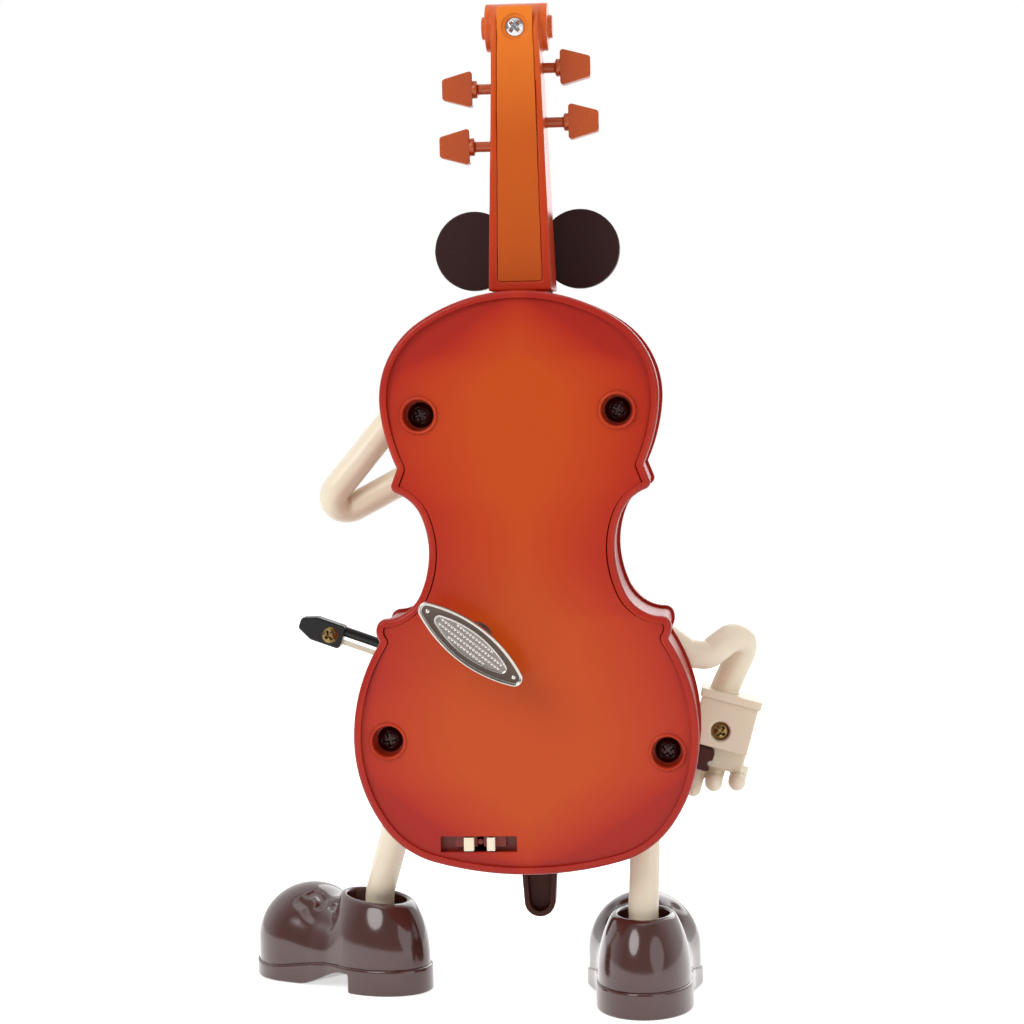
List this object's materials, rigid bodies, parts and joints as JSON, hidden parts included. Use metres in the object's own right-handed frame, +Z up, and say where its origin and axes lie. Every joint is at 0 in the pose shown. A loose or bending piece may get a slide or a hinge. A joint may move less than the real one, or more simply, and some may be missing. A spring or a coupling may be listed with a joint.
{
  "type": "cello shaped music box",
  "caption": "Wind-up musical toy: a cello with shoes, bent tube arms and a bow, turned by a lens-shaped key on its back.",
  "frame": {"origin": "on the floor, under the middle of the part's bounding box", "axes": "+Z up; +Y the way the cello's front and the shoes' toes face; +X the side of the bowing hand, to the right when the back with its key is seen"},
  "size_m": [0.1132, 0.0716, 0.2069],
  "materials": {
    "shell_red": "glossy red-orange moulded plastic, lighter towards the middle",
    "cover_amber": "satin amber plastic",
    "peg_orange": "glossy orange-brown plastic",
    "limb_cream": "smooth cream plastic",
    "shoe_brown": "glossy chocolate brown plastic",
    "tie_brown": "glossy dark brown plastic",
    "tail_brown": "satin mid-brown plastic",
    "bow_black": "glossy black plastic",
    "board_black": "satin black plastic",
    "hair_white": "off-white plastic ribbon",
    "bridge_tan": "tan plastic",
    "string_steel": "thin bright wire",
    "screw_dark": "blackened steel, cross recess",
    "screw_bronze": "bronze-coloured plated steel, cross recess",
    "screw_bright": "bright plated steel, cross recess",
    "key_nickel": "nickel plated, fine stippled field",
    "movement_steel": "plain steel",
    "movement_brass": "plain brass",
    "housing_white": "white nylon"
  },
  "bodies": {
    "cello": {"front_shell": "shell_red", "back_shell": "shell_red", "case_screws": "screw_dark", "neck_shell": "shell_red", "neck_cover": "cover_amber", "neck_screw": "screw_bright", "peg_left_upper": "peg_orange", "peg_left_lower": "peg_orange", "peg_right_upper": "peg_orange", "peg_right_lower": "peg_orange", "fingerboard": "board_black", "nut": "hair_white", "bridge": "bridge_tan", "strings": "string_steel", "tailpiece": "tail_brown", "bow_tie": "tie_brown", "tie_knot": "tie_brown", "right_leg": "limb_cream", "left_leg": "limb_cream", "right_shoe": "shoe_brown", "left_shoe": "shoe_brown", "right_sole": "shoe_brown", "left_sole": "shoe_brown", "left_arm": "limb_cream", "left_hand_back": "limb_cream", "left_hand_front": "limb_cream", "left_hand_screw": "screw_bronze", "bedplate": "movement_steel", "movement_screws": "movement_steel", "spring_cage": "movement_steel", "mainspring": "movement_steel", "left_bearing": "movement_brass", "right_bearing": "movement_brass", "governor_housing": "housing_white", "comb": "movement_steel", "comb_block": "movement_brass", "comb_screws": "movement_steel", "arm_bush": "housing_white", "switch_retainer": "limb_cream"},
    "key": {"winding_key": "key_nickel", "winding_arbor": "movement_steel", "drive_wheel": "movement_brass"},
    "cylinder": {"pinned_cylinder": "movement_brass", "cylinder_gear": "movement_brass"},
    "crank": {"crank_shaft": "movement_steel"},
    "bow_arm": {"right_arm": "limb_cream", "right_hand_back": "limb_cream", "right_hand_front": "limb_cream", "right_hand_screw": "screw_bronze", "bow_stick": "bow_black", "bow_hair": "hair_white", "bow_frog": "tail_brown", "bow_cap": "bow_black", "bow_tip_screw": "screw_bronze", "arm_lever": "housing_white", "arm_shaft": "movement_steel"},
    "switch": {"switch_slider": "limb_cream"},
    "stopper": {"stop_lever": "movement_steel"}
  },
  "joints": [
    {"name": "cylinder_turn", "type": "hinge", "parent": "cello", "child": "cylinder", "pos_m": [0.00857, -0.00982, 0.0777], "axis": [1, 0, 0], "continuous": true},
    {"name": "key_turn", "type": "hinge", "parent": "cello", "child": "key", "pos_m": [-0.00103, -0.01082, 0.0777], "axis": [0, 1, 0], "continuous": true},
    {"name": "crank_turn", "type": "hinge", "parent": "cello", "child": "crank", "pos_m": [0.00857, -0.00982, 0.0707], "axis": [1, 0, 0], "continuous": true},
    {"name": "bow_arm_swing", "type": "hinge", "parent": "cello", "child": "bow_arm", "pos_m": [0.02057, -0.01082, 0.092], "axis": [0, 1, 0], "range_deg": [-5, 5]},
    {"name": "switch_slide", "type": "slide", "parent": "cello", "child": "switch", "axis": [1, 0, 0], "range_m": [-0.002, 0.002]},
    {"name": "stopper_turn", "type": "hinge", "parent": "cello", "child": "stopper", "pos_m": [-0.00123, -0.01082, 0.047], "axis": [0, 1, 0], "range_deg": [-11, 11]}
  ],
  "couplings": [
    {"joint": "key_turn", "follows": "cylinder_turn", "ratio": 0.2},
    {"joint": "crank_turn", "follows": "cylinder_turn", "ratio": -3.75},
    {"joint": "stopper_turn", "follows": "switch_slide", "rad_per_m": -90.909}
  ]
}
